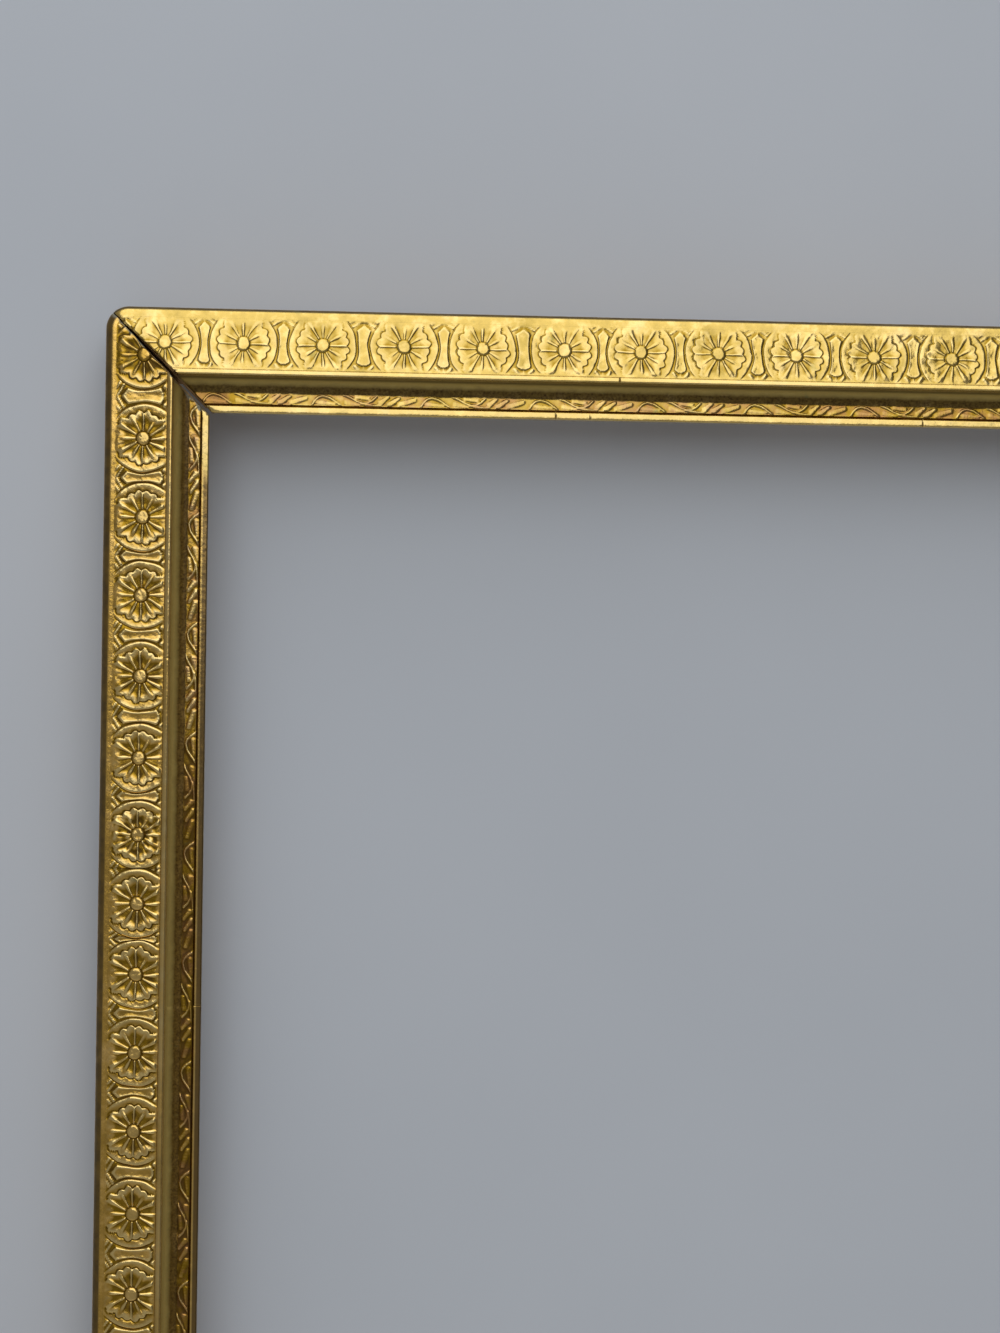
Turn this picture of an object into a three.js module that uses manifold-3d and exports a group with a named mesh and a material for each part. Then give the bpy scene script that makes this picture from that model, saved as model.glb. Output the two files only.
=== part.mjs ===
// Embossed picture frame: four mitred wood rails, each with a gilt facing that is run to the moulding's profile. Strips
// pressed with rosettes lie in a channel of the facing; on the long rails they are joined from two lengths. Wire nails
// hold the corners, turn buttons on the back hold the print in the rabbet, and two ring hangers carry the frame.
// Millimetres, +Z up. The frame lies on its back, face up, with its head towards +Y.
import * as THREE from "three";
import { mergeVertices } from "three/addons/utils/BufferGeometryUtils.js";
import Module from "manifold-3d";

const wasm = await Module();
wasm.setup();

// Print and rabbet
const printWidth = 203.2;
const printHeight = 254;
const printPlay = 1.6; // free room for the print between opposite rabbet walls
const rabbetWidth = 6.4; // how far the lip covers the print
const rabbetDepth = 9.5; // from the back to the ledge that the glass rests on

// Bands of the moulding, from the outer edge inwards
const marginWidth = 2.0;
const friezeWidth = 9.3;
const beadRadius = 0.55;
const coveWidth = 2.8;
const scrollWidth = 2.3;
const quirkWidth = 0.22;
const sightWidth = 1.28;

// Heights of the moulding, each from the one before
const lipThickness = 1.5; // wood under the sight edge
const sightThickness = 1.0; // composition over that wood
const scrollLift = 0.6; // scroll band's inner edge above the sight edge
const scrollTilt = 0.2; // how far it drops towards the cove
const coveStep = 0.45; // how far the cove's floor lies under the scroll band
const coveDepth = 4.05; // cove's floor to the centre of the bead
const beadSink = 0.1; // frieze above the bead's centre
const friezeFall = 1.1; // slope of the frieze towards the outer edge
const shoulderRadius = 1.5;
const sightTilt = 0.13; // how far the sight edge drops towards the scroll band
const noseRadius = 0.3; // round of the sight edge
const quirkDepth = 0.35; // groove beside the sight edge, below its crest

// Pressed strip in the frieze
const channelDepth = 1.2; // channel that the strip is laid in
const channelFloor = 0.9; // facing left under the channel
const groundDrop = 0.15; // strip's ground below the edges of the channel
const stripJoin = 102.3; // butt joint on an upright rail, from its upper corner

// Ornament pressed in the strip: rosettes with a spindle between each two
const rosettePitch = 14.55;
const rosetteRadius = 4.2;
const petals = 6;
const petalNotch = 0.4; // outline drawn in between two petals
const petalRise = 0.42; // crest of a petal above the ground
const petalEdgeRise = 0.28;
const grooveRise = 0.1; // groove between two petals
const bossRadius = 1.25;
const bossRise = 0.6;
const spindleLength = 7.2;
const spindleEndWidth = 2.1;
const spindleWaist = 1.1;
const spindleRise = 0.3;
const pressRoot = 0.3; // how deep the ornament is rooted in the strip
const joinToRosette = 6; // first rosette of a second length, from the joint
const joinCrowding = 1.75; // its next rosette stands this much closer than the pitch

// Wood under the facing
const sideThickness = 1.3; // outer face of the facing to the wood
const stepInset = 0.4; // wood's step under the bead, from the frieze's inner edge
const noseThickness = 1.1; // sight edge to the wood
const facingFoot = 0.8; // bare wood left along the back edge
const woodChamfer = 1.0;

// Fits
const seatGap = 0.3; // glue line, and room round every seated piece
const mitreGap = 0.5; // open joint at each corner
const cornerRadius = 3.2; // rounded outer corner, seen from the front
const toolOverrun = 1; // a cutter starts this far outside the face that it enters

// Corner nails
const nailDiameter = 1.4;
const nailLength = 24;
const nailHeadDiameter = 2.4;
const nailHeadThickness = 0.6;
const nailSet = 0.4; // head below the outer face
const nailInset = 6.6; // from the outer face of the rail that the nail runs along
const nailHeights = { low: 2.9, high: 6.4 };

// Screws
const shankDiameter = 2.8;
const shankLength = 8;
const screwTipLength = 2.2;
const screwHeadDiameter = 6;
const screwHeadRound = 0.6;
const slotWidth = 0.8;
const slotDepth = 0.9;

// Turn buttons
const buttonThickness = 1.5;
const buttonPivotRadius = 4.5;
const buttonTipRadius = 3.2;
const buttonReach = 16.5; // pivot to the centre of the tip's round
const buttonScrewHeadHeight = 2.2;

// Ring hangers
const strapWidth = 7;
const strapSheet = 0.7; // one layer of the folded strap
const strapLength = 15; // fold to the centre of the rounded end
const strapScrewOffset = 10.5; // fold to screw
const ringWire = 1.8;
const ringPlay = 0.2; // wire in the fold
const ringHalfWidth = 4.9; // to the middle of the wire
const ringStraight = 4; // straight part of each side before the bow
const hangerScrewHeadHeight = 1.8;
const hangerDrop = 1 / 3; // hangers this share of the height below the top

// Facets
const roundSides = 12;
const wireSides = 8;
const curveSteps = 4;

// Places across the moulding, from the outer edge
const friezeEnd = marginWidth + friezeWidth;
const beadCentre = friezeEnd + beadRadius;
const beadEnd = beadCentre + beadRadius;
const scrollStart = beadEnd + coveWidth;
const scrollEnd = scrollStart + scrollWidth;
const sightStart = scrollEnd + quirkWidth;
const railWidth = sightStart + sightWidth;
const rabbetWall = railWidth - rabbetWidth;

// Heights above the back
const lipTop = rabbetDepth + lipThickness;
const sightTop = lipTop + seatGap + sightThickness;
const scrollInner = sightTop + scrollLift;
const scrollOuter = scrollInner - scrollTilt;
const coveFloor = scrollOuter - coveStep;
const beadHeight = coveFloor + coveDepth;
const friezeInner = beadHeight + beadSink;
const friezeOuter = friezeInner - friezeFall;
const friezeSlope = friezeFall / (friezeEnd - shoulderRadius);
const friezeHeight = (inward) => friezeInner - friezeSlope * (friezeEnd - inward);

// Whole frame
const outerWidth = printWidth + printPlay + 2 * rabbetWall;
const outerHeight = printHeight + printPlay + 2 * rabbetWall;
const backHeight = buttonThickness + buttonScrewHeadHeight + 2 * seatGap; // back above the table
const hardwareInset = rabbetWall / 2;

const giltMaterial = new THREE.MeshStandardMaterial({ color: 0xc49a3c, roughness: 0.38, metalness: 1 });
const woodMaterial = new THREE.MeshStandardMaterial({ color: 0xb08a5c, roughness: 0.75, metalness: 0 });
const steelMaterial = new THREE.MeshStandardMaterial({ color: 0x8d8f92, roughness: 0.4, metalness: 1 });
const brassMaterial = new THREE.MeshStandardMaterial({ color: 0xb5924c, roughness: 0.35, metalness: 1 });

// A closed geometry as a solid that can be joined and cut
function solidOf(geometry) {
  const bare = geometry.clone();
  bare.deleteAttribute("normal");
  bare.deleteAttribute("uv");
  const merged = mergeVertices(bare);
  return new wasm.Manifold(
    new wasm.Mesh({
      numProp: 3,
      vertProperties: new Float32Array(merged.attributes.position.array),
      triVerts: new Uint32Array(merged.index.array),
    }),
  );
}

function geometryOf(solid) {
  const mesh = solid.getMesh();
  const geometry = new THREE.BufferGeometry();
  geometry.setAttribute("position", new THREE.BufferAttribute(mesh.vertProperties, 3));
  geometry.setIndex(new THREE.BufferAttribute(mesh.triVerts, 1));
  geometry.computeVertexNormals();
  return geometry;
}

function cut(geometry, tools) {
  return geometryOf(tools.reduce((solid, tool) => solid.subtract(solidOf(tool)), solidOf(geometry)));
}

function join(geometries) {
  return geometryOf(geometries.map(solidOf).reduce((whole, piece) => whole.add(piece)));
}

function named(name, geometry, material, place = [0, 0, 0]) {
  const mesh = new THREE.Mesh(geometry, material);
  mesh.name = name;
  mesh.position.set(...place);
  return mesh;
}

// A rail has its own axes: x runs along it from one outer corner, y inwards from the outer edge, z up from the back.
// A section is drawn with its x inwards and its y up, and swept from mitre to mitre, or to a square cut.
function mitredSweep(section, length, cuts = {}) {
  const geometry = new THREE.ExtrudeGeometry(section, { depth: 1, bevelEnabled: false, curveSegments: curveSteps });
  const points = geometry.attributes.position;
  const setback = mitreGap / Math.SQRT2;
  for (let i = 0; i < points.count; i++) {
    const mitre = points.getX(i) + setback;
    const isStart = points.getZ(i) < 0.5;
    points.setZ(i, isStart ? (cuts.start ?? mitre) : (cuts.end ?? length - mitre));
  }
  const sectionToRail = new THREE.Matrix4().set(0, 0, 1, 0, 1, 0, 0, 0, 0, 1, 0, 0, 0, 0, 0, 1);
  return geometry.applyMatrix4(sectionToRail);
}

// Steps of the milled wood, from its outer side to the end of its lip; the facing's underside clears them by the gap
function woodSteps(gap) {
  const side = sideThickness - gap;
  const step = friezeEnd + stepInset + gap;
  const drop = channelDepth + channelFloor + seatGap - gap;
  return [
    [side, friezeHeight(side) - drop - woodChamfer],
    [side + woodChamfer, friezeHeight(side + woodChamfer) - drop],
    [step, friezeHeight(step) - drop],
    [step, lipTop + gap],
    [railWidth - noseThickness + gap, lipTop + gap],
  ];
}

function woodSection() {
  const lipEnd = railWidth - noseThickness;
  const outline = [
    [sideThickness, 0],
    ...woodSteps(0),
    [lipEnd, rabbetDepth],
    [rabbetWall, rabbetDepth],
    [rabbetWall, 0],
  ];
  return new THREE.Shape(outline.map(([inward, up]) => new THREE.Vector2(inward, up)));
}

function facingSection() {
  const section = new THREE.Shape();
  const shoulder = friezeOuter - shoulderRadius;
  section.moveTo(0, facingFoot);
  section.lineTo(0, shoulder);
  section.absarc(shoulderRadius, shoulder, shoulderRadius, Math.PI, Math.PI / 2, true);
  section.lineTo(marginWidth, friezeHeight(marginWidth));
  section.lineTo(marginWidth, friezeHeight(marginWidth) - channelDepth);
  section.lineTo(friezeEnd, friezeInner - channelDepth);
  section.lineTo(friezeEnd, friezeInner);
  section.absarc(beadCentre, beadHeight, beadRadius, Math.PI - Math.asin(beadSink / beadRadius), 0, true);
  section.quadraticCurveTo(beadEnd, coveFloor, scrollStart, coveFloor);
  section.lineTo(scrollStart, scrollOuter);
  section.lineTo(scrollEnd, scrollInner);
  section.lineTo(scrollEnd + quirkWidth / 2, sightTop - quirkDepth);
  section.lineTo(sightStart, sightTop - sightTilt);
  section.lineTo(railWidth - noseRadius, sightTop);
  section.absarc(railWidth - noseRadius, sightTop - noseRadius, noseRadius, Math.PI / 2, 0, true);
  section.lineTo(railWidth, rabbetDepth);
  section.lineTo(railWidth - noseThickness + seatGap, rabbetDepth);
  for (const [inward, up] of woodSteps(seatGap).reverse()) {
    section.lineTo(inward, up);
  }
  section.lineTo(sideThickness - seatGap, facingFoot);
  section.closePath();
  return section;
}

// The strip up to its ground, or higher by the given headroom
function stripSection(headroom) {
  const outer = marginWidth + seatGap;
  const inner = friezeEnd - seatGap;
  const under = channelDepth - seatGap;
  const above = 2 * headroom - groundDrop;
  const outline = [
    [outer, friezeHeight(outer) - under],
    [outer, friezeHeight(outer) + above],
    [inner, friezeHeight(inner) + above],
    [inner, friezeHeight(inner) - under],
  ];
  return new THREE.Shape(outline.map(([inward, up]) => new THREE.Vector2(inward, up)));
}

// The plan of one rail with its two outer corners rounded
function roundedPlan(length) {
  const plan = new THREE.Shape();
  plan.moveTo(0, railWidth);
  plan.lineTo(0, cornerRadius);
  plan.absarc(cornerRadius, cornerRadius, cornerRadius, Math.PI, 1.5 * Math.PI, false);
  plan.lineTo(length - cornerRadius, 0);
  plan.absarc(length - cornerRadius, cornerRadius, cornerRadius, 1.5 * Math.PI, 2 * Math.PI, false);
  plan.lineTo(length, railWidth);
  plan.closePath();
  const depth = beadHeight + 2 * beadRadius;
  return new THREE.ExtrudeGeometry(plan, { depth, bevelEnabled: false, curveSegments: curveSteps });
}

// Straight round tools and pins, along one of the rail's axes
function roundAlong(axis, radius, length, sides, start) {
  const cylinder = new THREE.CylinderGeometry(radius, radius, length, sides);
  cylinder.translate(0, length / 2, 0);
  if (axis === "x") cylinder.rotateZ(-Math.PI / 2);
  if (axis === "z") cylinder.rotateX(Math.PI / 2);
  return cylinder.translate(...start);
}

// Room for the corner nails in a rail: into the two ends of an upright one, and through the side of the others
function nailHoles(length, upright) {
  const shankRadius = nailDiameter / 2 + seatGap;
  const headRadius = nailHeadDiameter / 2 + seatGap;
  const depth = nailLength + seatGap;
  const headDepth = nailSet + nailHeadThickness + seatGap + toolOverrun;
  return Object.values(nailHeights).flatMap((up) =>
    upright
      ? [
          roundAlong("x", shankRadius, depth, wireSides, [0, nailInset, up]),
          roundAlong("x", shankRadius, depth, wireSides, [length - depth, nailInset, up]),
        ]
      : [nailInset, length - nailInset].flatMap((along) => [
          roundAlong("y", shankRadius, depth, wireSides, [along, 0, up]),
          roundAlong("y", headRadius, headDepth, wireSides, [along, -toolOverrun, up]),
        ]),
  );
}

function screwHole(along) {
  const depth = shankLength + screwTipLength + toolOverrun;
  return roundAlong("z", shankDiameter / 2 + seatGap, depth, roundSides, [along, hardwareInset, -toolOverrun]);
}

// A turned solid with its axis along z; the profile runs from the axis round to the axis again
function turned(profile, sides) {
  const points = profile.map(([radius, up]) => new THREE.Vector2(radius, up));
  return new THREE.LatheGeometry(points, sides).rotateX(Math.PI / 2);
}

// Nail along y, its head's face at the origin
function nail() {
  const radius = nailDiameter / 2;
  const tip = 2 * nailDiameter;
  const profile = [
    [0, -nailLength + nailSet],
    [radius, -nailLength + nailSet + tip],
    [radius, -nailHeadThickness],
    [nailHeadDiameter / 2, -nailHeadThickness],
    [nailHeadDiameter / 2, 0],
    [0, 0],
  ];
  return turned(profile, wireSides).rotateX(Math.PI / 2);
}

// Slotted screw standing in the back, its head's seat at the origin
function screw(headHeight) {
  const headRadius = screwHeadDiameter / 2;
  const shankRadius = shankDiameter / 2;
  const profile = [
    [0, -headHeight],
    [headRadius - screwHeadRound, -headHeight],
    [headRadius, -headHeight + screwHeadRound],
    [headRadius, 0],
    [shankRadius, 0],
    [shankRadius, shankLength],
    [0, shankLength + screwTipLength],
  ];
  const slot = new THREE.BoxGeometry(2 * screwHeadDiameter, slotWidth, 2 * slotDepth);
  return cut(turned(profile, roundSides), [slot.translate(0, 0, -headHeight)]);
}

// Turn button with its pivot at the origin, lying along x
function turnButton() {
  const lean = Math.acos((buttonPivotRadius - buttonTipRadius) / buttonReach);
  const outline = new THREE.Shape();
  outline.absarc(0, 0, buttonPivotRadius, lean, 2 * Math.PI - lean, false);
  outline.absarc(buttonReach, 0, buttonTipRadius, -lean, lean, false);
  outline.closePath();
  const pivotHole = new THREE.Path();
  pivotHole.absarc(0, 0, shankDiameter / 2 + seatGap, 0, 2 * Math.PI, true);
  outline.holes.push(pivotHole);
  const options = { depth: buttonThickness, bevelEnabled: false, curveSegments: curveSteps };
  return new THREE.ExtrudeGeometry(outline, options).translate(0, 0, -buttonThickness);
}

// Folded hanger strap: the fold holds the ring's leg along y at the origin, and the tail runs along -x
function hangerStrap() {
  const bore = ringWire / 2 + ringPlay;
  const foldRadius = bore + strapSheet;
  const half = strapWidth / 2;
  const tail = new THREE.Shape();
  tail.moveTo(0, -half);
  tail.lineTo(0, half);
  tail.lineTo(-strapLength + half, half);
  tail.absarc(-strapLength + half, 0, half, Math.PI / 2, 1.5 * Math.PI, false);
  tail.closePath();
  const options = { depth: 2 * strapSheet, bevelEnabled: false, curveSegments: curveSteps };
  const plate = new THREE.ExtrudeGeometry(tail, options).translate(0, 0, foldRadius - 2 * strapSheet);
  const fold = roundAlong("y", foldRadius, strapWidth, roundSides, [0, -half, 0]);
  const legRoom = roundAlong("y", bore, 2 * strapWidth, roundSides, [0, -strapWidth, 0]);
  const holeRadius = shankDiameter / 2 + seatGap;
  const screwRoom = roundAlong("z", holeRadius, 2 * foldRadius, roundSides, [-strapScrewOffset, 0, 0]);
  return cut(join([plate, fold]), [legRoom, screwRoom]);
}

// D-shaped wire ring: its leg along y at the origin, its bow towards +x
function hangerRing() {
  const bow = new THREE.CurvePath();
  const corner = (along, side) => new THREE.Vector3(along, side * ringHalfWidth, 0);
  const turns = 2;
  bow.add(new THREE.LineCurve3(corner(0, -1), corner(ringStraight, -1)));
  for (let quarter = 0; quarter < turns; quarter++) {
    const from = quarter ? new THREE.Vector3(ringStraight + ringHalfWidth, 0, 0) : corner(ringStraight, -1);
    const to = quarter ? corner(ringStraight, 1) : new THREE.Vector3(ringStraight + ringHalfWidth, 0, 0);
    const pull = ringHalfWidth * (4 / 3) * (Math.SQRT2 - 1); // a quarter circle as a cubic curve
    const first = from.clone().add(quarter ? new THREE.Vector3(0, pull, 0) : new THREE.Vector3(pull, 0, 0));
    const second = to.clone().add(quarter ? new THREE.Vector3(pull, 0, 0) : new THREE.Vector3(0, -pull, 0));
    bow.add(new THREE.CubicBezierCurve3(from, first, second, to));
  }
  bow.add(new THREE.LineCurve3(corner(ringStraight, 1), corner(0, 1)));
  const wire = new THREE.Shape();
  wire.absarc(0, 0, ringWire / 2, 0, 2 * Math.PI, false);
  const options = { steps: 4 * curveSteps, bevelEnabled: false, extrudePath: bow, curveSegments: wireSides / 2 };
  const leg = roundAlong("y", ringWire / 2, 2 * ringHalfWidth, wireSides, [0, -ringHalfWidth, 0]);
  const knees = [-1, 1].map((side) =>
    new THREE.SphereGeometry(ringWire / 2, wireSides, curveSteps).translate(...corner(0, side)),
  );
  return join([new THREE.ExtrudeGeometry(wire, options), leg, ...knees]);
}

// A turned rosette, fluted afterwards: its petals rise between grooves, and its outline is drawn in at each groove
function rosette() {
  const collar = bossRadius + petalNotch;
  const profile = [
    [0, -pressRoot],
    [rosetteRadius, -pressRoot],
    [rosetteRadius, petalEdgeRise],
    [collar, petalRise],
    [bossRadius, bossRise],
    [0, bossRise],
  ];
  const geometry = turned(profile, 2 * petals);
  const points = geometry.attributes.position;
  for (let i = 0; i < points.count; i++) {
    const [x, y, z] = [points.getX(i), points.getY(i), points.getZ(i)];
    const radius = Math.hypot(x, y);
    const inGroove = Math.cos(petals * Math.atan2(y, x)) > 0;
    if (!inGroove || radius < (bossRadius + collar) / 2) continue;
    const drawnIn = radius > collar + petalNotch ? 1 - petalNotch / rosetteRadius : 1;
    points.setXYZ(i, x * drawnIn, y * drawnIn, z > 0 ? grooveRise : z);
  }
  return geometry;
}

// A spindle across the strip, waisted, pointed towards the outer edge and rounded towards the bead
function spindle() {
  const end = spindleLength / 2;
  const half = spindleEndWidth / 2;
  const shoulder = end - half;
  const pull = spindleWaist - half; // control point that brings the curve to the waist
  const outline = new THREE.Shape();
  outline.moveTo(-half, -shoulder);
  outline.lineTo(0, -end);
  outline.lineTo(half, -shoulder);
  outline.quadraticCurveTo(pull, 0, half, shoulder);
  outline.quadraticCurveTo(0, 2 * end - shoulder, -half, shoulder);
  outline.quadraticCurveTo(-pull, 0, -half, -shoulder);
  const options = { depth: pressRoot + spindleRise, bevelEnabled: false, curveSegments: 2 };
  return new THREE.ExtrudeGeometry(outline, options).translate(0, 0, -pressRoot);
}

// One pressed strip: its ornament stands on the sloping ground and ends where the strip is cut
function pressedStrip(length, cuts, rosettes) {
  const middle = marginWidth + friezeWidth / 2;
  const ground = friezeHeight(middle) - groundDrop;
  const slope = Math.atan(friezeSlope);
  const half = rosettePitch / 2;
  const last = rosettes[rosettes.length - 1];
  const between = rosettes.slice(1).map((along, i) => (along + rosettes[i]) / 2);
  const spindles = [rosettes[0] - half, ...between, last + half];
  const ornament = [
    ...rosettes.map((along) => rosette().rotateX(slope).translate(along, middle, ground)),
    ...spindles.map((along) => spindle().rotateX(slope).translate(along, middle, ground)),
  ];
  const strip = solidOf(join([mitredSweep(stripSection(0), length, cuts), ...ornament]));
  return geometryOf(strip.intersect(solidOf(mitredSweep(stripSection(bossRise), length, cuts))));
}

// Places along a rail are given from its reference corner, the left or upper one
function fromReference(length, reference, distance) {
  return reference === "start" ? distance : length - distance;
}

function evenPlaces(first, end) {
  const count = Math.floor((end - first) / rosettePitch) + 1;
  return Array.from({ length: count }, (_, i) => first + i * rosettePitch);
}

// The pressed strips of one rail: one length on a short rail, two on an upright one
function friezeStrips({ side, length, reference, firstRosette, upright }) {
  const placed = (places) =>
    places.map((place) => fromReference(length, reference, place)).sort((one, other) => one - other);
  if (!upright) {
    const whole = pressedStrip(length, {}, placed(evenPlaces(firstRosette, length)));
    return [named(`${side}_frieze_strip`, whole, giltMaterial)];
  }
  const joint = fromReference(length, reference, stripJoin);
  const toJoint = { end: joint - seatGap / 2 };
  const fromJoint = { start: joint + seatGap / 2 };
  const [upperCuts, lowerCuts] = reference === "start" ? [toJoint, fromJoint] : [fromJoint, toJoint];
  const upper = pressedStrip(length, upperCuts, placed(evenPlaces(firstRosette, stripJoin)));
  const afterJoint = stripJoin + joinToRosette;
  const crowded = [afterJoint, ...evenPlaces(afterJoint + rosettePitch - joinCrowding, length)];
  const lower = pressedStrip(length, lowerCuts, placed(crowded));
  return [
    named(`${side}_frieze_strip_upper`, upper, giltMaterial),
    named(`${side}_frieze_strip_lower`, lower, giltMaterial),
  ];
}

// One rail with its own hardware; its group is then turned into place
function rail(layout) {
  const { side, length, reference, upright, nailedEnds } = layout;
  const group = new THREE.Group();
  const buttonAlong = length / 2;
  const upward = reference === "start" ? -1 : 1;
  const hangerAlong = fromReference(length, reference, length * hangerDrop);
  const strapScrewAlong = hangerAlong - upward * strapScrewOffset;
  const holes = nailHoles(length, upright);
  const screwHoles = [screwHole(buttonAlong), ...(upright ? [screwHole(strapScrewAlong)] : [])];
  const wood = cut(mitredSweep(woodSection(), length), [...holes, ...screwHoles]);
  const rounded = solidOf(mitredSweep(facingSection(), length)).intersect(solidOf(roundedPlan(length)));
  const facing = cut(geometryOf(rounded), upright ? [] : holes);
  const buttonTop = -seatGap;
  const buttonScrewSeat = buttonTop - buttonThickness - seatGap;
  group.add(
    named(`${side}_rail_wood`, wood, woodMaterial),
    named(`${side}_rail_facing`, facing, giltMaterial),
    ...friezeStrips(layout),
    named(`turn_button_${side}`, turnButton(), brassMaterial, [buttonAlong, hardwareInset, buttonTop]),
    named(`turn_button_screw_${side}`, screw(buttonScrewHeadHeight), brassMaterial, [
      buttonAlong,
      hardwareInset,
      buttonScrewSeat,
    ]),
  );
  if (upright) {
    const foldRadius = ringWire / 2 + ringPlay + strapSheet;
    const hangerGroup = new THREE.Group();
    hangerGroup.position.set(hangerAlong, hardwareInset, -seatGap - foldRadius);
    hangerGroup.rotation.z = upward > 0 ? 0 : Math.PI;
    const screwSeat = foldRadius - 2 * strapSheet - seatGap;
    hangerGroup.add(
      named(`hanger_strap_${side}`, hangerStrap(), steelMaterial),
      named(`hanger_ring_${side}`, hangerRing(), steelMaterial),
      named(`hanger_screw_${side}`, screw(hangerScrewHeadHeight), steelMaterial, [-strapScrewOffset, 0, screwSeat]),
    );
    group.add(hangerGroup);
  }
  for (const [index, end] of (nailedEnds ?? []).entries()) {
    const along = index ? length - nailInset : nailInset;
    for (const [level, up] of Object.entries(nailHeights)) {
      const name = `corner_nail_${side}_${end}_${level}`;
      group.add(named(name, nail(), steelMaterial, [along, nailSet, up]));
    }
  }
  return group;
}

// The rails follow one another round the frame, each from its own outer corner. The ornament runs on past the mitres,
// so each rail starts somewhere else in the pattern. Nails go through the top and bottom rails into the uprights.
const rails = [
  {
    side: "bottom",
    length: outerWidth,
    corner: [-1, -1],
    quarterTurns: 0,
    reference: "start",
    firstRosette: 5.4,
    nailedEnds: ["left", "right"],
  },
  {
    side: "right",
    length: outerHeight,
    corner: [1, -1],
    quarterTurns: 1,
    reference: "end",
    firstRosette: 12.2,
    upright: true,
  },
  {
    side: "top",
    length: outerWidth,
    corner: [1, 1],
    quarterTurns: 2,
    reference: "end",
    firstRosette: 10.65,
    nailedEnds: ["right", "left"],
  },
  {
    side: "left",
    length: outerHeight,
    corner: [-1, 1],
    quarterTurns: 3,
    reference: "start",
    firstRosette: 9.25,
    upright: true,
  },
];

const frame = new THREE.Group();
for (const layout of rails) {
  const group = rail(layout);
  const [right, up] = layout.corner;
  group.position.set((right * outerWidth) / 2, (up * outerHeight) / 2, backHeight);
  group.rotation.z = (layout.quarterTurns * Math.PI) / 2;
  frame.add(group);
}

export default frame;
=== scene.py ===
import math

import bmesh
import bpy
from mathutils import Matrix, Vector, noise


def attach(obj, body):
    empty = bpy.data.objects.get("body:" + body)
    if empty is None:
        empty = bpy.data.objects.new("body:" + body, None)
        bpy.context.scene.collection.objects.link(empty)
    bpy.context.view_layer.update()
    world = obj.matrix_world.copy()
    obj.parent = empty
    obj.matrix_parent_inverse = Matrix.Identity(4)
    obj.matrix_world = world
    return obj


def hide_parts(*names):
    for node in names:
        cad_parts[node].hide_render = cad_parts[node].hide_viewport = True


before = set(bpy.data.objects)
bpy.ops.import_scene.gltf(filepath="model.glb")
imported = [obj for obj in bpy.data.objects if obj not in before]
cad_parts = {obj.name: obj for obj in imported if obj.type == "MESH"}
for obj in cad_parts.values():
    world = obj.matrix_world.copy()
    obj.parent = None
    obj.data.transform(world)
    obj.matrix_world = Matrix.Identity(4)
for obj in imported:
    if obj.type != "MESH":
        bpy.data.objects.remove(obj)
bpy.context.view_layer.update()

print("frame loaded:", len(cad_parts), "nodes")

# Lengths in this file are millimetres until a piece is put in place
mm = 0.001

# The strips stray the same way in every run
noise.seed_set(1)

# The moulding: places from the outer edge inwards, heights above the back
moulding = {
    "width": 230.0,
    "height": 280.8,
    "back": 4.3,  # back above the table
    "rail": 19.0,
    "margin": 2.0,
    "friezeEnd": 11.3,
    "friezeOuterUp": 15.3,
    "friezeInnerUp": 16.4,
    "shoulder": 1.5,
    "beadRadius": 0.55,
    "beadUp": 16.3,
    "beadLean": 0.26,  # its crest towards the cove
    "coveUp": 12.25,
    "scrollStart": 15.2,
    "scrollEnd": 17.3,
    "scrollOuterUp": 12.7,
    "scrollInnerUp": 12.9,
    "quirk": 0.24,
    "sightUp": 12.3,
    "sightTilt": 0.05,
    "nose": 0.3,
    "rabbetUp": 9.5,
    "foot": 0.8,
    "channel": 1.2,
    "corner": 3.4,
    "cornerRub": 0.8,  # rounder by this much at the top, from the first of these heights to the second
    "rubUp": (12.0, 13.6),
    "setback": 0.354,  # along the rail, from the corner's diagonal to the mitre
}
friezeSlope = (moulding["friezeInnerUp"] - moulding["friezeOuterUp"]) / (moulding["friezeEnd"] - moulding["shoulder"])
friezeMiddle = (moulding["margin"] + moulding["friezeEnd"]) / 2

# The rails run round the frame, each from its own outer corner; "from" is the end its ornament is counted from, "first"
# the place of its first rosette, "lean" how far the rosettes lie off the middle of their strip, "depth" how deep they
# are pressed, "soilAndShade" how dirty they are and how much painted shade darkens them, most on the uprights
wide, tall = moulding["width"], moulding["height"]
rails = {
    "bottom": {"length": wide, "corner": (-wide / 2, -tall / 2), "turns": 0, "from": "start", "first": 5.4,
               "lean": 0.0, "depth": 0.7, "soilAndShade": 0.5},
    "right": {"length": tall, "corner": (wide / 2, -tall / 2), "turns": 1, "from": "end", "first": 12.2,
              "lean": 0.3, "depth": 1.0, "soilAndShade": 0.9},
    "top": {"length": wide, "corner": (wide / 2, tall / 2), "turns": 2, "from": "end", "first": 10.65,
            "lean": 0.0, "depth": 0.5, "soilAndShade": 0.1},
    "left": {"length": tall, "corner": (-wide / 2, tall / 2), "turns": 3, "from": "start", "first": 9.25,
             "lean": 0.5, "depth": 1.0, "soilAndShade": 1.0},
}


def friezeUp(inward):
    return moulding["friezeInnerUp"] - friezeSlope * (moulding["friezeEnd"] - inward)


def clamp(value, low=0.0, high=1.0):
    return max(low, min(high, value))


def ease(low, high, value):
    t = clamp((value - low) / (high - low))
    return t * t * (3 - 2 * t)


def railPlace(rail):
    x, y = rail["corner"]
    turn = Matrix.Rotation(rail["turns"] * math.pi / 2, 4, "Z")
    return Matrix.Scale(mm, 4) @ Matrix.Translation((x, y, moulding["back"])) @ turn


def fromReference(rail, along):
    return along if rail["from"] == "start" else rail["length"] - along


def edgesOf(items):
    return [item for item in items if isinstance(item, bmesh.types.BMEdge)]


def vertsOf(items):
    return [item for item in items if isinstance(item, bmesh.types.BMVert)]


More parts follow.
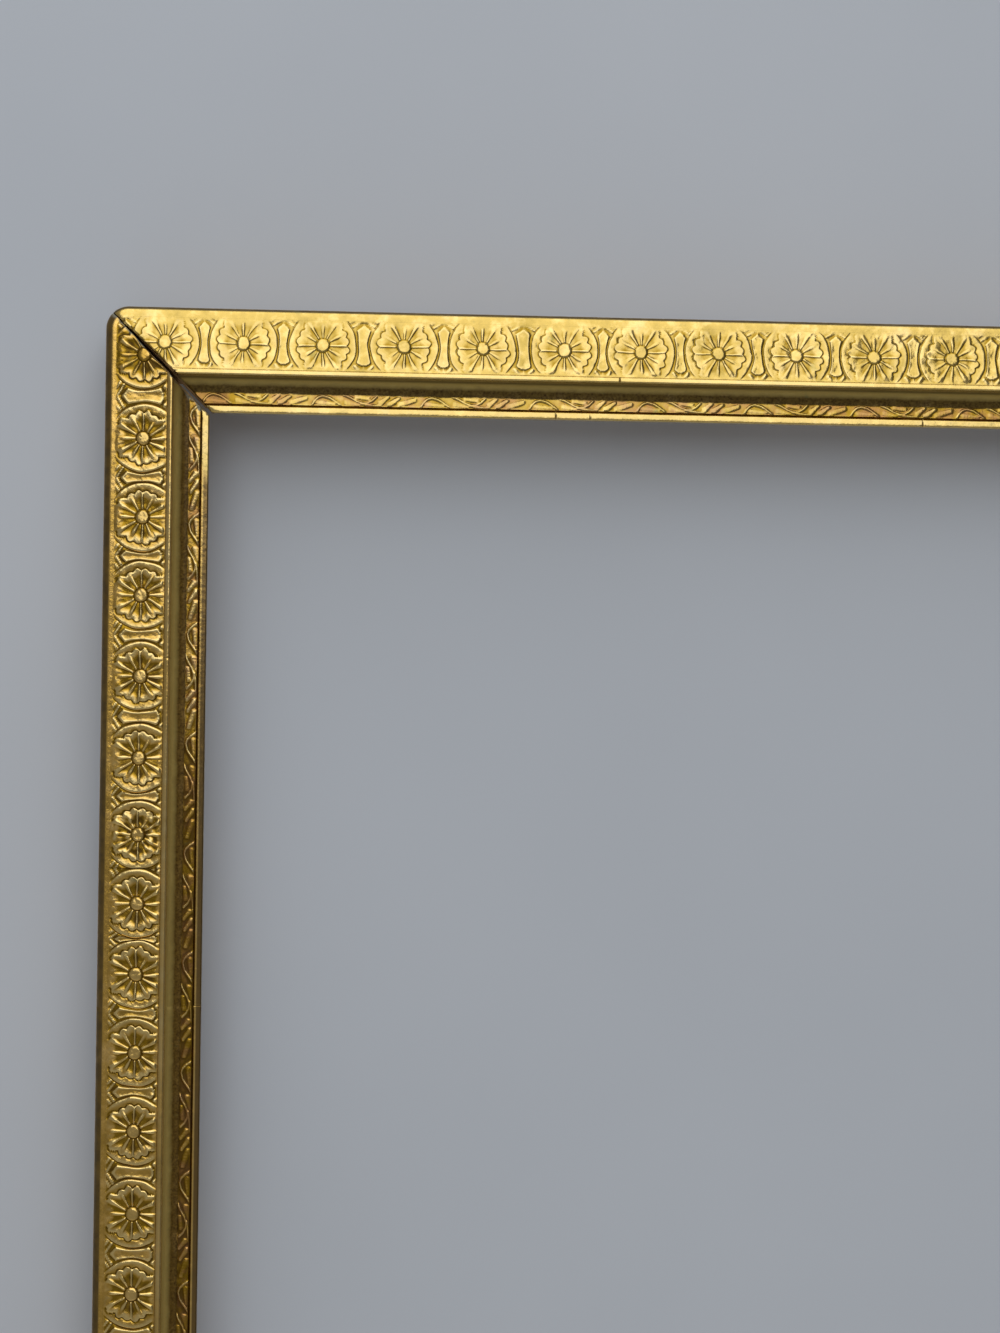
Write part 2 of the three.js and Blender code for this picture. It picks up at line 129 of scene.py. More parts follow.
# Keeps what lies on the normal's side of a plane and gives the edges of the cut
def cutOff(bm, at, normal):
    cut = bmesh.ops.bisect_plane(bm, geom=bm.verts[:] + bm.edges[:] + bm.faces[:], dist=1e-5, plane_co=at,
                                 plane_no=normal, clear_inner=True)
    return edgesOf(cut["geom_cut"])


# Cuts a rail's piece to the mitre at each end; a solid one is closed there
def cutMitres(bm, rail, closed=False):
    setback = moulding["setback"]
    for x, into in ((setback, 1), (rail["length"] - setback, -1)):
        cutEdges = cutOff(bm, (x, 0, 0), Vector((into, -1, 0)).normalized())
        if closed:
            bmesh.ops.edgeloop_fill(bm, edges=cutEdges)


# The outer corners are rounded in plan: each line of the moulding turns about the same centre
def roundCorners(bm, rail):
    for v in bm.verts:
        radius = moulding["corner"] + moulding["cornerRub"] * ease(*moulding["rubUp"], v.co.z)
        fromStart = v.co.x < rail["length"] / 2
        along = v.co.x if fromStart else rail["length"] - v.co.x
        inward = v.co.y
        if along >= radius or inward >= radius:
            continue
        angle = math.pi / 4 * (1 + clamp((along - inward) / (radius - inward)))
        along = radius - (radius - inward) * math.cos(angle)
        v.co.x = along if fromStart else rail["length"] - along
        v.co.y = radius - (radius - inward) * math.sin(angle)


# Shrinkage has opened the mitres, most under the bead, and rubbed their edges
mitreWear = {"tip": -0.17, "middle": 0.32, "inner": 0.1, "middleAt": 0.65, "innerFrom": 0.72, "ragged": 0.05,
             "reach": 0.5, "edgeDrop": 0.16, "rubUp": (9.6, 11.5)}


def wearMitres(bm, rail):
    w = mitreWear
    for v in bm.verts:
        fromStart = v.co.x < rail["length"] / 2
        along = v.co.x if fromStart else rail["length"] - v.co.x
        near = 1 - clamp((along - v.co.y - moulding["setback"]) / w["reach"])
        if near <= 0:
            continue
        share = clamp(v.co.y / moulding["rail"])
        opening = w["tip"] + (w["middle"] - w["tip"]) * ease(0.0, w["middleAt"], share)
        opening += (w["inner"] - w["middle"]) * ease(w["innerFrom"], 1.0, share)
        opening += w["ragged"] * noise.noise((v.co.y * 1.7, rail["turns"] * 9.1, 3.3 if fromStart else 7.7))
        shift = near * opening * math.sqrt(2)
        v.co.x += shift if fromStart else -shift
        v.co.z -= w["edgeDrop"] * near * near * ease(*w["rubUp"], v.co.z)


# Mean of the heights round each place, taken one step further out in every round
def meanHeights(heights, rounds):
    mean = heights
    for _ in range(rounds):
        mean = {v: sum(mean.get(e.other_vert(v), mean[v]) for e in v.link_edges) / len(v.link_edges) for v in mean}
    return mean


# Puts a piece in its place over the solids that it stands for
def finishPiece(bm, name, rail, nodes):
    roundCorners(bm, rail)
    bm.transform(railPlace(rail))
    bmesh.ops.recalc_face_normals(bm, faces=bm.faces[:])
    mesh = bpy.data.meshes.new(name)
    bm.to_mesh(mesh)
    bm.free()
    mesh.materials.append(giltComposition)
    mesh.shade_smooth()
    mesh.set_sharp_from_angle(angle=math.radians(65))
    piece = bpy.data.objects.new(name, mesh)
    bpy.context.scene.collection.objects.link(piece)
    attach(piece, "frame")
    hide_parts(*nodes)
    return piece


# sRGB hex to linear
def colour(hexCode):
    channels = [int(hexCode[i:i + 2], 16) / 255 for i in (1, 3, 5)]
    return [c / 12.92 if c <= 0.04045 else ((c + 0.055) / 1.055) ** 2.4 for c in channels] + [1.0]


# Adds one node: its settings, then its inputs, each a value or another node's output
def addNode(tree, kind, inputs=None, stops=None, **settings):
    node = tree.nodes.new(kind)
    for name, value in settings.items():
        setattr(node, name, value)
    if stops:
        ramp = node.color_ramp
        while len(ramp.elements) < len(stops):
            ramp.elements.new(0.5)
        for element, (position, shade) in zip(ramp.elements, stops):
            element.position = position
            element.color = colour(shade)
    for socket, value in (inputs or {}).items():
        if isinstance(value, bpy.types.NodeSocket):
            tree.links.new(value, node.inputs[socket])
        else:
            node.inputs[socket].default_value = value
    return node


def newMaterial(name):
    material = bpy.data.materials.new(name)
    material.use_nodes = True
    material.node_tree.nodes.clear()
    return material, material.node_tree


# Noise of a size in millimetres
def noiseCloud(tree, place, size, detail, roughness=0.5, distortion=0.0):
    return addNode(tree, "ShaderNodeTexNoise", {"Vector": place, "Scale": 1 / (size * mm), "Detail": detail,
                                                "Roughness": roughness, "Distortion": distortion}).outputs["Fac"]


# Oil gilding on pressed composition, under old varnish: soft warm metal, peach where it is rubbed, paler on raised
# places as rubbed leaf and painted highlight, olive and then brown in the hollows, mottled where the leaf has thinned,
# with a paler glint where the varnish catches the light; painted shade darkens the uprights, under the bead and the
# cove's corner
gilding = {
    "leaf": "#d0b056",
    "paleLeaf": "#e8ca80",
    "thinLeaf": "#b79a42",
    "hollowLeaf": "#977414",
    # paler gold of the bead and sight edge: burnish and painted highlight
    "burnishedAndHighlit": "#e2c684",
    "bole": "#a5744e",
    # grime in the hollows, and the painted shadow under the bead
    "grimeAndShadow": "#3d2600",
    "side": ["#8f6c30", "#b58a42", "#c59d55"],
    "tarnish": "#fff0d8",
    "shadedSight": "#5a4016",
    # dark of the shoulder band: worn leaf and painted shade
    "edge": "#463820",
    "coveOlive": "#d6bd70",
    # the cove's deep corner: dust and painted shade
    "coveBrown": "#402a00",
    "verdigris": "#6f7d52",
    "gesso": "#94917e",
    "mottleSize": 7.0,
    "patchSize": 2.3,
    "grainSize": 0.4,
    "claySize": 3.1,
    "shineSize": 26.0,
    "verdigrisSize": 4.2,
    "dimpleSize": 1.1,
    "dimpleDepth": 0.009,
    "roughness": 0.19,
    # places across the rail: where each starts, is full, fades and ends
    "bead": (11.35, 11.65, 12.3, 12.5),
    "cove": (12.35, 12.6, 15.2, 15.4),
    "shadeUnderBead": (12.45, 12.6, 12.7, 12.95),
    "scroll": (15.2, 15.4, 17.5, 17.55),
    "sight": (17.7, 17.8),
    "sightShade": (17.92, 18.08),
}


def giltMaterial():
    g = gilding
    material, tree = newMaterial("giltComposition")
    coords = addNode(tree, "ShaderNodeTexCoord").outputs["Object"]

    def attribute(name):
        return addNode(tree, "ShaderNodeAttribute", attribute_name=name).outputs["Fac"]

    def cloud(size, detail, roughness=0.6):
        return noiseCloud(tree, coords, size, detail, roughness)

    def span(value, low, high, first=0.0, last=1.0):
        return addNode(tree, "ShaderNodeMapRange", {"Value": value, "From Min": low, "From Max": high,
                                                    "To Min": first, "To Max": last}).outputs["Result"]

    def mixed(share, first, second, blend="MIX"):
        return addNode(tree, "ShaderNodeMix", {0: share, 6: first, 7: second}, data_type="RGBA",
                       blend_type=blend).outputs[2]

    def maths(operation, *values):
        return addNode(tree, "ShaderNodeMath", dict(enumerate(values)), operation=operation).outputs["Value"]

    def onBand(band):
        start, full, fade, end = g[band]
        return maths("MINIMUM", span(across, start, full), span(across, end, fade))

    cavity, across, chip, soilAndShade = (attribute(name) for name in ("cavity", "across", "chip", "soilAndShade"))
    mottle, patches = cloud(g["mottleSize"], 5.0), cloud(g["patchSize"], 3.0)
    grain = cloud(g["grainSize"], 3.0, 0.65)
    # soilAndShade deepens the hollows: dirt on every rail, and painted shade that is heaviest on the uprights
    hollow = maths("MULTIPLY", cavity, span(soilAndShade, 0.0, 1.0, 0.5, 1.5))
    leaf = addNode(tree, "ShaderNodeValToRGB", {"Fac": mottle}, stops=[
        (0.32, g["thinLeaf"]), (0.46, g["leaf"]), (0.56, g["leaf"]), (0.7, g["paleLeaf"])]).outputs["Color"]
    peach = mixed(span(patches, 0.5, 0.68, 0.0, 0.6), leaf, colour(g["paleLeaf"]))
    # tinted warmer in step with soilAndShade, most on the uprights
    railTinted = mixed(soilAndShade, peach, colour(g["tarnish"]), "MULTIPLY")
    # raised places painted paler: rubbed leaf, and a painted highlight
    rubbedAndHighlit = mixed(span(hollow, -0.08, -0.6), railTinted, colour(g["paleLeaf"]))
    sunk = mixed(span(hollow, 0.06, 0.42, 0.0, 0.85), rubbedAndHighlit, colour(g["hollowLeaf"]))
    speck = maths("MULTIPLY", span(grain, 0.3, 0.7, 0.95, 1.04), span(patches, 0.3, 0.7, 0.86, 1.1))
    speckled = addNode(tree, "ShaderNodeVectorMath", {0: sunk, "Scale": speck}, operation="SCALE").outputs["Vector"]
    # the clay under the leaf shows through on the scroll band
    rosy = maths("MULTIPLY", onBand("scroll"), span(cloud(g["claySize"], 3.0), 0.44, 0.62, 0.0, 0.6))
    clayed = mixed(rosy, speckled, colour(g["bole"]))
    # the bead and the sight edge are burnished, and painted paler as a highlight that varies along the rail
    shineAndHighlight = maths("MULTIPLY", span(cloud(g["shineSize"], 1.0), 0.42, 0.58, 0.4, 1.0), span(soilAndShade, 0.0, 1.0, 0.9, 1.0))
    burnishAndHighlight = maths("MAXIMUM", maths("MULTIPLY", onBand("bead"), shineAndHighlight), span(across, *g["sight"], 0.0, 0.6))
    bright = mixed(maths("MULTIPLY", burnishAndHighlight, span(patches, 0.3, 0.65, 1.0, 0.4)), clayed, colour(g["burnishedAndHighlit"]))
    # dust dulls the cove: olive below the bead; the dark brown where it lies against the scroll band is dust and
    # painted shade of that deep corner
    drifted = maths("MULTIPLY_ADD", patches, 0.7, maths("SUBTRACT", across, 0.35))
    dustAndShadeColour = addNode(tree, "ShaderNodeValToRGB", {"Fac": span(drifted, 12.4, 15.2)}, stops=[
        (0.0, g["coveOlive"]), (0.25, g["coveOlive"]), (0.6, g["coveBrown"]), (1.0, g["coveBrown"])]).outputs["Color"]
    start, full, fade, end = g["cove"]
    inCove = maths("MINIMUM", span(across, start, full), span(drifted, end, fade))
    dustAndShade = maths("MULTIPLY", inCove, span(grain, 0.3, 0.7, 0.98, 0.72))
    dustedAndShaded = mixed(dustAndShade, bright, dustAndShadeColour)
    # and a dark line of painted shadow lies under the bead of the top and bottom rails, most on the top
    beadShadow = maths("MULTIPLY", onBand("shadeUnderBead"), span(soilAndShade, 0.3, 0.9, 0.6, 0.0))
    beadShadowed = mixed(beadShadow, dustedAndShaded, colour(g["grimeAndShadow"]))
    # the uprights' sight edge is darkened with painted shade away from the corner, standing for the dark reflection it
    # shows there; the sides are only toned with ochre, and along the shoulder a dark band is painted, partly worn leaf,
    # partly painted shade
    ochred = span(across, 0.12, 0.04)
    # painted shade on the uprights' sight edge, standing for a dark reflection
    sightShade = maths("MULTIPLY", span(across, *g["sightShade"]), span(soilAndShade, 0.2, 0.9, 0.0, 0.8))
    worn = maths("MULTIPLY_ADD", mottle, 0.6, maths("MULTIPLY", patches, 0.4))
    ochre = addNode(tree, "ShaderNodeValToRGB", {"Fac": worn}, stops=list(zip((0.34, 0.46, 0.64), g["side"])))
    sided = mixed(ochred, mixed(sightShade, beadShadowed, colour(g["shadedSight"])), ochre.outputs["Color"])
    # painted shade: a dark band along the shoulder where it turns from the light, with worn leaf in it, wider on the
    # uprights
    fromEdge = maths("MULTIPLY_ADD", soilAndShade, -0.8, across)
    side = maths("MULTIPLY", maths("MULTIPLY", span(fromEdge, 0.68, 0.32), span(across, 0.05, 0.12)),
                 span(patches, 0.3, 0.6, 0.8, 0.95))
    shoulderShaded = mixed(side, sided, colour(g["edge"]))
    soiled = span(maths("MULTIPLY", hollow, mottle), 0.24, 0.52, 0.0, 0.8)
    grimed = mixed(soiled, shoulderShaded, colour(g["grimeAndShadow"]))
    green = span(cloud(g["verdigrisSize"], 4.0), 0.66, 0.78, 0.0, 0.5)
    aged = mixed(green, grimed, colour(g["verdigris"]))
    whole = mixed(chip, aged, colour(g["gesso"]))
    lost = maths("MAXIMUM", maths("MAXIMUM", soiled, chip), maths("MAXIMUM", side, dustAndShade))
    polish = maths("MULTIPLY_ADD", burnishAndHighlight, -0.07, span(grain, 0.3, 0.7, g["roughness"] - 0.05, g["roughness"] + 0.07))
    rough = maths("MULTIPLY_ADD", maths("MAXIMUM", lost, ochred), 0.3, polish)
    bare = maths("MAXIMUM", lost, maths("MULTIPLY", ochred, 1.2))
    # smoother where it is burnished, rougher on the uprights
    dimples = maths("MULTIPLY_ADD", cloud(g["dimpleSize"], 2.0), 7.0, grain)
    dimples = maths("MULTIPLY", dimples, span(burnishAndHighlight, 0.0, 1.0, 1.0, 0.4))
    dimples = maths("MULTIPLY", dimples, span(soilAndShade, 0.0, 1.0, 1.0, 1.5))
    bump = addNode(tree, "ShaderNodeBump", {"Height": dimples, "Strength": 0.6,
                                            "Distance": g["dimpleDepth"] * mm}).outputs["Normal"]
    shader = addNode(tree, "ShaderNodeBsdfPrincipled", {
        "Base Color": whole, "Metallic": span(bare, 0.0, 1.2, 1.0, 0.1), "Roughness": rough, "Normal": bump,
        "Coat Weight": maths("MULTIPLY", span(lost, 0.0, 1.0, 0.7, 0.1), span(hollow, 0.35, -0.1)),
        "Coat Roughness": 0.2, "Specular IOR Level": 0.15}).outputs["BSDF"]
    addNode(tree, "ShaderNodeOutputMaterial", {"Surface": shader})
    return material


# Sawn pine, bare: pale yellow-brown with darker growth lines along the rail, matt and a little furry
pine = {"early": "#c79f68", "late": "#99703c", "stain": "#7a5a34", "ringWidth": 2.2, "fibreWidth": 0.35,
        "stainSize": 38.0, "stretch": 0.06, "roughness": 0.74}


def pineMaterial(name, stretch):
    p = pine
    material, tree = newMaterial(name)
    coords = addNode(tree, "ShaderNodeTexCoord").outputs["Object"]
    # drawn out along the rail
    laid = addNode(tree, "ShaderNodeMapping", {"Vector": coords, "Scale": stretch}).outputs["Vector"]
    rings = noiseCloud(tree, laid, p["ringWidth"], 6.0, 0.55, 0.4)
    fibre = noiseCloud(tree, laid, p["fibreWidth"], 2.0)
    stain = noiseCloud(tree, coords, p["stainSize"], 3.0)
    grainColour = addNode(tree, "ShaderNodeValToRGB", {"Fac": rings}, stops=[
        (0.34, p["late"]), (0.46, p["early"]), (0.6, p["early"]), (0.66, p["late"])]).outputs["Color"]
    old = addNode(tree, "ShaderNodeMapRange", {"Value": stain, "From Min": 0.42, "From Max": 0.75,
                                               "To Max": 0.6}).outputs["Result"]
    base = addNode(tree, "ShaderNodeMix", {0: old, 6: grainColour, 7: colour(p["stain"])},
                   data_type="RGBA").outputs[2]
    rough = addNode(tree, "ShaderNodeMapRange", {"Value": fibre, "To Min": p["roughness"] - 0.1,
                                                 "To Max": p["roughness"] + 0.1}).outputs["Result"]
    bump = addNode(tree, "ShaderNodeBump", {"Height": fibre, "Strength": 0.6, "Distance": 0.08 * mm}).outputs["Normal"]
    shader = addNode(tree, "ShaderNodeBsdfPrincipled", {"Base Color": base, "Roughness": rough,
                                                        "Normal": bump}).outputs["BSDF"]
    addNode(tree, "ShaderNodeOutputMaterial", {"Surface": shader})
    return material


# Old sheet and wire: brass gone brown, and zinc-plated steel gone grey, both with handling marks
hardwareMarks = {"patchSize": 2.6, "scratchWidth": 0.25, "scratchTurn": 0.6, "scratchStretch": 0.08}
hardwareMetals = {
    "dulledBrass": {"clean": "#b8934a", "tarnish": "#6f5022", "roughness": 0.34},
    "dulledZinc": {"clean": "#a3a6a8", "tarnish": "#5d5a55", "roughness": 0.42},
}


def hardwareMaterial(name):
    h, marks = hardwareMetals[name], hardwareMarks
    material, tree = newMaterial(name)
    coords = addNode(tree, "ShaderNodeTexCoord").outputs["Object"]
    cloud = noiseCloud(tree, coords, marks["patchSize"], 5.0, 0.62)
    slanted = addNode(tree, "ShaderNodeMapping", {"Vector": coords, "Rotation": (0, 0, marks["scratchTurn"]),
                                                  "Scale": (marks["scratchStretch"], 1.0, 1.0)}).outputs["Vector"]
    scratch = noiseCloud(tree, slanted, marks["scratchWidth"], 2.0)
    base = addNode(tree, "ShaderNodeValToRGB", {"Fac": cloud}, stops=[
        (0.36, h["tarnish"]), (0.56, h["clean"]), (1.0, h["clean"])]).outputs["Color"]
    rough = addNode(tree, "ShaderNodeMapRange", {"Value": cloud, "From Min": 0.3, "From Max": 0.7,
                                                 "To Min": h["roughness"] + 0.2,
                                                 "To Max": h["roughness"] - 0.04}).outputs["Result"]
    bump = addNode(tree, "ShaderNodeBump", {"Height": scratch, "Strength": 0.35,
                                            "Distance": 0.02 * mm}).outputs["Normal"]
    shader = addNode(tree, "ShaderNodeBsdfPrincipled", {"Base Color": base, "Metallic": 1.0, "Roughness": rough,
                                                        "Normal": bump}).outputs["BSDF"]
    addNode(tree, "ShaderNodeOutputMaterial", {"Surface": shader})
    return material


giltComposition = giltMaterial()
print("materials made")

# Pressed rosette strip. Heights are above the strip's ground, which lies a little below the margins
rosette = {
    "pitch": 14.55,
    "boss": 1.3,
    "bossFoot": 0.16,
    "bossRise": 0.44,
    "petalStart": 1.42,
    "petalEdge": 4.3,
    "oval": 0.045,  # longer along the strip than across it
    "lobe": 0.46,  # scallops of the outline, three between two long ribs
    "overrun": 0.9,  # how far the petals run out over the margins
    "hollow": 0.1,
    "petalRise": 0.25,
    "longRib": 0.2,
    "shortRib": 0.19,
    # half width of each kind of rib at the boss, and how much it widens
    "straightHalf": 0.19,
    "longHalf": (0.21, 0.2),
    "shortHalf": (0.19, 0.13),
    "shortReach": 0.78,
    "ring": 6.3,
    "ringFall": 6.03,
    "ringLift": 5.1,
    "ringBase": 0.1,
    "ringRise": 0.15,
    "ringGroove": 0.12,  # between the ring and the petals
    "moat": 0.06,  # round the ring
    "steps": 168,
    "radii": [0, 0.5, 0.8, 0.98, 1.12, 1.24, 1.32, 1.42, 1.56, 1.75, 2.0, 2.3, 2.65, 3.0, 3.4, 3.82, 4.12, 4.31, 4.45,
              4.57, 4.69, 4.83, 5.02, 5.26, 5.54, 5.82, 6.03, 6.12, 6.21, 6.3],
    "meanRounds": 12,  # how far round a place its mean height is taken
    "fullHollow": 0.12,
    "dies": 4,  # no two neighbours are quite alike, and the last one is badly pressed
    "spoil": 0.17,
}
spindle = {"waist": 0.74, "outerFlare": 0.44, "innerFlare": 0.48, "point": -3.98, "round": 3.65, "shoulder": 2.9,
           "rise": 0.3, "dish": 0.1, "columns": 13, "reach": 5.5,
           # chevrons at its point and a leaf at its foot: first and last place, and how high they stand
           "chevrons": [(0.2, -4.75, 1.9, -3.6), (1.6, -4.8, 2.4, -4.25)], "chevronRise": 0.22,
           "leaf": (0.95, 4.35, 1.45, 3.75), "leafRise": 0.32}
strip = {"ground": 0.08, "thickness": 0.75, "edge": 0.012, "edgeRun": (4.05, 4.62), "join": 102.3, "joinGap": 0.05,
         "joinToRosette": 6.0, "spoilt": 6, "spare": 0.6, "cornerDarkening": 0.3, "cornerRun": (10.0, 16.0),
         # hand work: how far it strays along, across and up, over long and short runs
         "drift": (0.16, 0.07, 0.05), "warp": (0.12, 0.12), "fine": 0.05, "grit": 0.03}


def uneven(die, number):
    return noise.noise((number * 3.7 + 0.5, die * 9.1 + 0.2, 0.3))


def petalOutline(angle, die):
    r = rosette
    lobe = r["lobe"] * (1 + 0.7 * uneven(die, 50 + math.floor(9 * angle / math.pi) % 18))
    return r["petalEdge"] * (1 + r["oval"] * math.cos(2 * angle)) + lobe * abs(math.sin(9 * angle))


# Scooped petals between twelve raised ribs, long and short in turn
def rosetteRelief(radius, angle, die):
    r = rosette
    if radius < r["boss"]:
        tilt = 0.1 * uneven(die, 60) * radius * math.cos(angle - die * 2.0)
        face = (r["bossRise"] - r["bossFoot"]) * (1 - ease(0.7, 1.0, radius / r["boss"]))
        return r["bossFoot"] + tilt + face
    outline = petalOutline(angle, die) + r["overrun"] * ease(0.6, 0.85, abs(math.sin(angle)))
    t = clamp((radius - r["petalStart"]) / (outline - r["petalStart"]))
    petal = r["hollow"] + (r["petalRise"] - r["hollow"]) * ease(0.4, 0.85, t)
    twelfth = math.pi / 6
    number = round(angle / twelfth) % 12
    off = (angle + twelfth / 2) % twelfth - twelfth / 2 - 0.07 * uneven(die, number)
    if number % 6 == 0:  # straight along the strip
        half, rise = r["straightHalf"], r["longRib"] * (1 - 0.5 * ease(0.6, 1.0, t))
    elif number % 2 == 0:
        half = r["longHalf"][0] + r["longHalf"][1] * ease(0.1, 0.8, t)
        rise = r["longRib"] * (1 - 0.6 * ease(0.45, 1.0, t))
    else:
        reach = t / (r["shortReach"] + 0.2 * uneven(die, number + 40))
        half = r["shortHalf"][0] + r["shortHalf"][1] * ease(0.1, 0.6, reach)
        rise = r["shortRib"] * (1 - ease(0.55, 1.0, reach))
    rib = radius * math.sin(off) / half
    petal += rise * (1 + 0.5 * uneven(die, number + 20)) * math.sqrt(max(0.0, 1 - rib * rib))
    petal *= 0.5 + 0.5 * ease(r["boss"], r["petalStart"] + 0.08, radius)
    # the ring is lifted at its rim
    ring = r["ringBase"] + (r["ringRise"] - r["ringBase"]) * ease(r["ringLift"], r["ringFall"], radius)
    ring -= (ring + r["moat"]) * ease(r["ringFall"], r["ring"], radius)
    ring -= r["ringGroove"] * (1 - ease(0.02, 0.32, radius - outline))
    height = ring + (petal - ring) * (1 - ease(outline - 0.12, outline + 0.04, radius))
    worn = 1 - 0.4 * ease(3.4, 5.0, abs(radius * math.sin(angle)))  # pressed flatter towards the margins
    return max(height * worn, -r["moat"])


def spindleHalf(y):
    s = spindle
    half = s["waist"] + s["outerFlare" if y < 0 else "innerFlare"] * clamp(abs(y) / s["shoulder"]) ** 2
    if y < -s["shoulder"]:
        half *= clamp((y - s["point"]) / (-s["shoulder"] - s["point"]))
    if y > s["shoulder"]:
        half *= math.sqrt(clamp(1 - ((y - s["shoulder"]) / (s["round"] - s["shoulder"])) ** 2))
    return half


def segmentDistance(x, y, ax, ay, bx, by):
    t = clamp(((x - ax) * (bx - ax) + (y - ay) * (by - ay)) / ((bx - ax) ** 2 + (by - ay) ** 2))
    return math.hypot(x - ax - t * (bx - ax), y - ay - t * (by - ay))


# Height between two rings; x from the spindle's axis, y across the strip towards the bead
def spindleRelief(x, y, fromRing):
    s = spindle
    x = abs(x)
    half = spindleHalf(y)
    hollow = s["dish"] * (1 - clamp(x / (half + 0.01)) ** 2)
    height = (s["rise"] - hollow) * ease(-0.06, 0.12, half - x)
    for chevron in s["chevrons"]:
        height = max(height, s["chevronRise"] * (1 - ease(0.05, 0.22, segmentDistance(x, y, *chevron))))
    height = max(height, s["leafRise"] * (1 - ease(0.1, 0.4, segmentDistance(x, y, *s["leaf"]))))
    return height - rosette["moat"] * (1 - ease(0.0, 0.25, fromRing))


# One rosette with half a spindle on either side, as a flat plan whose heights are set afterwards
def rosetteUnit(die):
    r = rosette
    bm = bmesh.new()
    height = bm.verts.layers.float.new("height")
    cavity = bm.verts.layers.float.new("cavity")
    spoke = [bm.verts.new((radius, 0, 0)) for radius in r["radii"]]
    edges = [bm.edges.new(pair) for pair in zip(spoke, spoke[1:])]
    bmesh.ops.spin(bm, geom=spoke + edges, axis=(0, 0, 1), angle=2 * math.pi, steps=r["steps"], use_merge=True)
    bmesh.ops.remove_doubles(bm, verts=bm.verts[:], dist=1e-4)
    for v in bm.verts:
        radius, angle = math.hypot(v.co.x, v.co.y), math.atan2(v.co.y, v.co.x)
        angle -= 0.45 * math.sin(12 * angle) / 12  # closer spacing at the creases
        lean = 1 - ease(0.0, 0.75, abs(radius - r["petalEdge"]))
        shown = radius + lean * (petalOutline(angle, die) - r["petalEdge"] - r["lobe"] / 2)
        v.co.x, v.co.y = shown * math.cos(angle), shown * math.sin(angle)
        v[height] = rosetteRelief(shown, angle, die)
        if die == r["dies"] - 1:
            v[height] += r["spoil"] * noise.noise((v.co.x * 1.1, v.co.y * 1.1, 7.0)) * (1 - ease(4.2, 5.4, shown))
    for side in (1, -1):
        rim = [e for e in bm.edges if e.is_boundary and all(
            v.co.x * side > 0 and abs(v.co.y) < spindle["reach"] and abs(v.co.length - r["ring"]) < 0.01
            for v in e.verts)]
        for column in range(1, spindle["columns"] + 1):
            out = bmesh.ops.extrude_edge_only(bm, edges=rim)["geom"]
            rim = edgesOf(out)
            for v in vertsOf(out):
                arc = math.sqrt(r["ring"] ** 2 - v.co.y ** 2)
                x = arc + (r["pitch"] / 2 - arc) * column / spindle["columns"]
                v.co.x = side * x
                v[height] = spindleRelief(x - r["pitch"] / 2, v.co.y, x - arc)
    half = (moulding["friezeEnd"] - moulding["margin"]) / 2 + strip["spare"]
    for side in (1, -1):
        cutOff(bm, (0, side * half, 0), (0, -side, 0))
    # hollows lie below the mean height round them, raised places above it, and these are painted paler as rubbed leaf
    # and painted highlight
    mean = meanHeights({v: v[height] for v in bm.verts}, r["meanRounds"])
    for v in bm.verts:
        mostRaised = -0.2 if v.co.length < r["boss"] else -1
        v[cavity] = clamp((mean[v] - v[height]) / r["fullHollow"], mostRaised, 1)
        v.co.z = v[height]
    mesh = bpy.data.meshes.new("rosetteUnit%d" % die)
    bm.to_mesh(mesh)
    bm.free()
    return mesh


unitMeshes = [rosetteUnit(die) for die in range(rosette["dies"])]
print("rosette units:", [len(mesh.polygons) for mesh in unitMeshes], "faces")


# The strip's edges lie flush with the margin and the bead
def edgeLevel(inward):
    return ease(*strip["edgeRun"], abs(inward - friezeMiddle))


# The hand-run mouldings waver a little below the drawn profile
def waver(rail, x, inward, up):
    sway = noise.noise((x * 0.05, inward * 0.4, up * 0.3 + rail["turns"] * 7.0)) * 0.5 + 0.5
    ripple = noise.noise((x * 0.6, inward * 0.9, up * 0.6 + rail["turns"] * 7.0)) * 0.5 + 0.5
    return 0.05 * sway + 0.03 * ripple


# Gesso shows along the left rail's broken mitre, most beside the scroll band
broken = {"width": 0.1, "ragged": 0.55, "innerFrom": 14.4, "innerWidth": 0.45, "innerRagged": 1.1, "bandEnd": 17.4,
          "bandMore": 0.5, "soft": 0.3}


def mitreChip(rail, x, inward):
    if rail is not rails["left"]:
        return 0.0
    b = broken
    ragged = noise.noise((inward * 0.9, x * 0.5, 4.0))
    width = b["width"] + b["ragged"] * ragged
    if inward > b["innerFrom"]:
        width = b["innerWidth"] + b["innerRagged"] * ragged + (b["bandMore"] if inward < b["bandEnd"] else 0.0)
    return 1 - ease(width - b["soft"], width + b["soft"], x - inward - moulding["setback"])


# Places of a strip's rosettes, with one more than shows at either end
def stripPlaces(first, last, offsets):
    places = [first]
    while places[-1] < last + rosette["pitch"]:
        places.append(places[-1] + rosette["pitch"])
    places = [first - rosette["pitch"]] + places
    return [p + offsets.get(i - 1, 0.0) for i, p in enumerate(places)]


